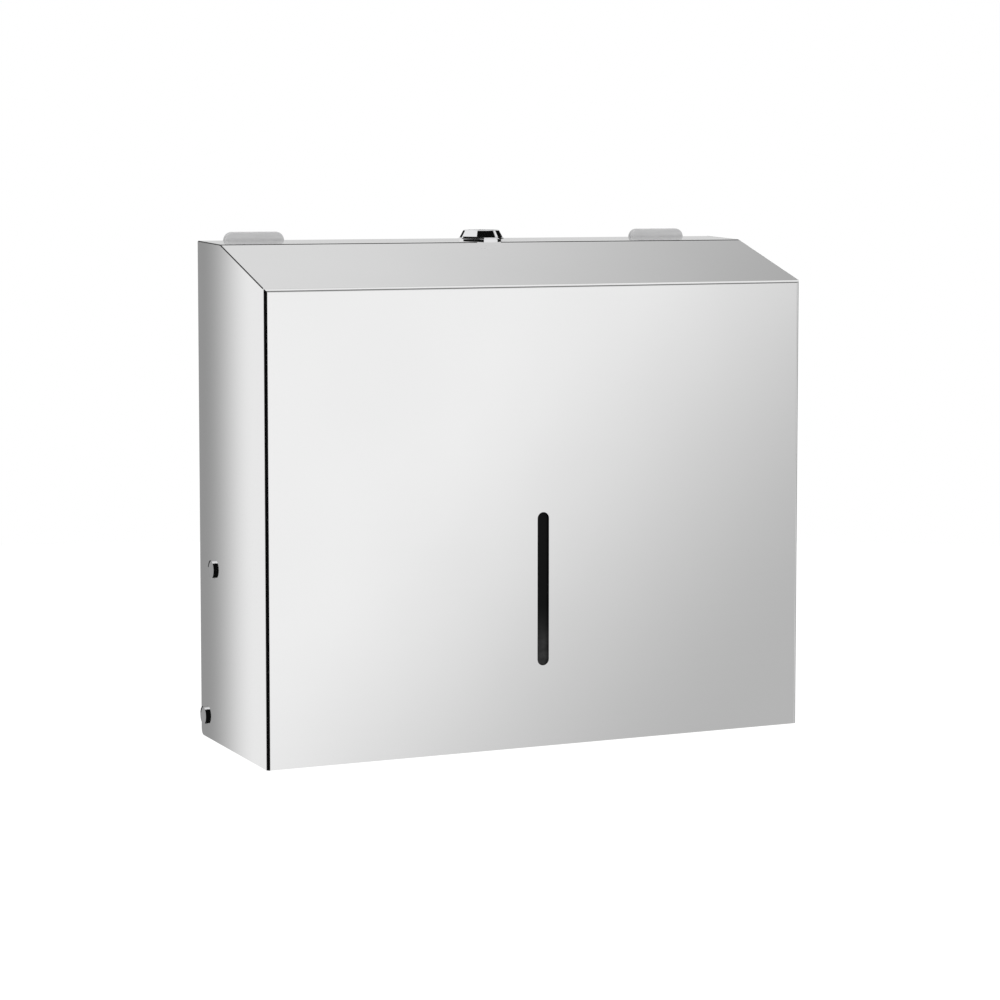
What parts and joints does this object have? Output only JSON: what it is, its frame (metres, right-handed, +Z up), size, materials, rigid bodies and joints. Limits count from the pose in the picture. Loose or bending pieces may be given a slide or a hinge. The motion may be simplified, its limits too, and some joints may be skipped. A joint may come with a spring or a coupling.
{
  "type": "paper towel dispenser",
  "caption": "Wall-mounted polished steel dispenser for folded paper towels, with a drop-down cover, a level window, a keyed lock on top and a pull slot underneath.",
  "frame": {"origin": "centre of the four wall screw slots, on the wall face of the wall plate", "axes": "+X to the right seen from the front, +Y into the wall, +Z up"},
  "size_m": [0.2786, 0.099, 0.2418],
  "materials": {
    "polished_steel": "bright polished",
    "plain_steel": "mill finish",
    "chrome": "polished",
    "nylon": "moulded",
    "black_rubber": "matt",
    "smoked_lens": "polished",
    "grey_plastic": "moulded"
  },
  "bodies": {
    "frame": {"back_plate": "plain_steel", "pad_left": "grey_plastic", "pad_right": "grey_plastic", "cheek_left": "plain_steel", "cheek_right": "plain_steel", "cheek_rivets": "chrome", "towel_tray": "plain_steel", "throat_collar": "plain_steel", "tray_end_left": "plain_steel", "tray_end_right": "plain_steel", "tray_rivets": "chrome", "lock_keeper": "plain_steel", "keeper_rivets": "chrome"},
    "cover": {"cover_shell": "polished_steel", "seam_bracket_left": "plain_steel", "seam_bracket_right": "plain_steel", "window_lens": "smoked_lens", "window_gasket": "black_rubber", "lock_body": "chrome", "lock_washer": "chrome", "lock_nut": "chrome", "hinge_pin_left": "chrome", "hinge_pin_right": "chrome", "hinge_washers": "nylon", "hinge_nuts": "chrome", "stop_pin_left": "chrome", "stop_pin_right": "chrome", "stop_bushes": "nylon", "stop_washers": "chrome", "stop_nuts": "chrome"},
    "lock": {"lock_plug": "chrome", "lock_cam": "plain_steel", "cam_washer": "chrome", "cam_screw": "chrome"}
  },
  "joints": [
    {"name": "cover_hinge", "type": "hinge", "parent": "frame", "child": "cover", "pos_m": [0, -0.0113, -0.1077], "axis": [1, 0, 0], "range_deg": [0, 60]},
    {"name": "lock_turn", "type": "hinge", "parent": "cover", "child": "lock", "pos_m": [0, -0.0272, 0.118], "axis": [0, 0, -1], "range_deg": [0, 90]}
  ]
}
